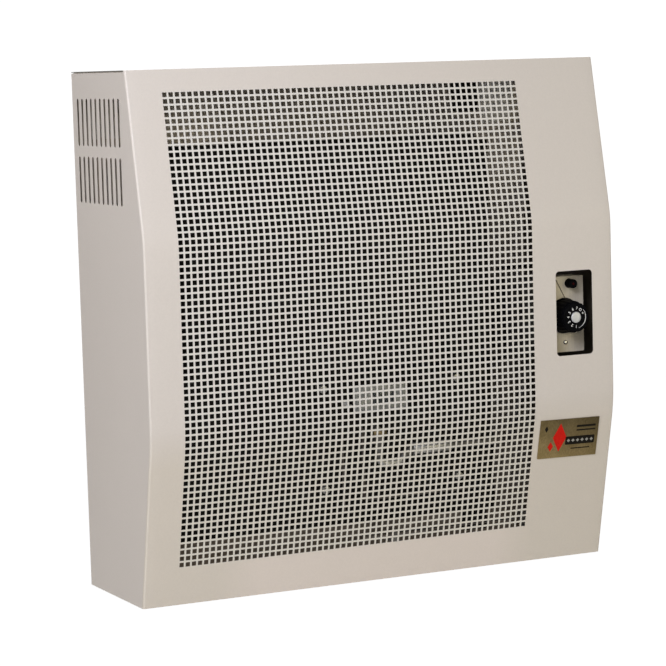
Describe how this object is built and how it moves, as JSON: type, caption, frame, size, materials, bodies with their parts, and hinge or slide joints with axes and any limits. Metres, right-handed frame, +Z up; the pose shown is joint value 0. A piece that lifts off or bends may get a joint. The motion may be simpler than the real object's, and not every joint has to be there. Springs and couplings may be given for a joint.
{
  "type": "wall mounted gas heater",
  "caption": "Wall-hung balanced-flue gas convector: bent perforated steel casing, slotted sides, sealed chamber inside, control knob and spark button in a side window.",
  "frame": {"origin": "centre of the back face, on the wall plane", "axes": "+X to the right of someone facing the heater, +Y from the room into the wall, +Z up"},
  "size_m": [0.638, 0.22, 0.6416],
  "materials": {
    "white_paint": "smooth satin powder coat",
    "galvanised": "galvanised sheet",
    "black_enamel": "matt heat-proof black",
    "steel": "plated steel",
    "brass": "brushed",
    "alloy": "cast or drawn",
    "copper": "drawn copper tube",
    "black_plastic": "moulded, fine texture",
    "rope_seal": "woven glass-fibre seal",
    "ceramic": "white glazed ceramic",
    "glass": "clear heat-proof glass",
    "silver_cap": "silvered dial centre"
  },
  "bodies": {
    "heater": {"front_panel": "white_paint", "top_panel": "white_paint", "left_side_panel": "white_paint", "right_side_panel": "white_paint", "back_panel": "galvanised", "casing_lug_left": "galvanised", "casing_lug_right": "galvanised", "casing_hanger_left": "galvanised", "casing_hanger_right": "galvanised", "air_duct": "galvanised", "air_pipe": "galvanised", "chamber_support_left": "galvanised", "chamber_support_right": "galvanised", "control_bracket": "galvanised", "dial_cover_plate": "galvanised", "sensor_clip": "galvanised", "chamber_front_shell": "black_enamel", "chamber_rear_shell": "black_enamel", "burner_door": "black_enamel", "fixing_plate_lower_left": "black_enamel", "fixing_plate_lower_right": "black_enamel", "fixing_plate_upper_left": "black_enamel", "fixing_plate_upper_right": "black_enamel", "casing_screw_left": "steel", "casing_screw_right": "steel", "door_bolt_1": "steel", "door_bolt_2": "steel", "door_bolt_3": "steel", "door_bolt_4": "steel", "sight_screw_left": "steel", "sight_screw_right": "steel", "main_burner": "steel", "thermocouple": "steel", "bracket_screw": "steel", "igniter_nut": "steel", "igniter_spring": "steel", "flue_pipe": "steel", "badge_plate": "brass", "burner_elbow": "brass", "pilot_burner": "brass", "inlet_union_nut": "brass", "gas_valve_body": "alloy", "burner_feed_pipe": "alloy", "sight_glass_frame": "alloy", "gas_inlet_pipe": "copper", "pilot_tube": "copper", "thermocouple_lead": "copper", "sensor_bulb": "copper", "sensor_capillary": "copper", "igniter_body": "black_plastic", "ignition_lead": "black_plastic", "chamber_seal": "rope_seal", "door_gasket": "rope_seal", "spark_electrode": "ceramic", "sight_glass": "glass"},
    "spindle": {"valve_spindle": "steel", "spindle_spring": "steel"},
    "dial": {"knob": "black_plastic", "knob_cap": "silver_cap"},
    "button": {"igniter_button": "black_plastic"}
  },
  "joints": [
    {"name": "knob_turn", "type": "hinge", "parent": "heater", "child": "spindle", "pos_m": [0.266, -0.2, -0.0069], "axis": [0, -1, 0], "range_deg": [0, 330]},
    {"name": "knob_push", "type": "slide", "parent": "spindle", "child": "dial", "axis": [0, 1, 0], "range_m": [0, 0.005], "stiffness_N_per_m": 600, "springref_m": -0.004, "deforming": ["spindle_spring"]},
    {"name": "igniter_push", "type": "slide", "parent": "heater", "child": "button", "axis": [0, 1, 0], "range_m": [0, 0.005], "stiffness_N_per_m": 600, "springref_m": -0.004, "deforming": ["igniter_spring"]}
  ]
}
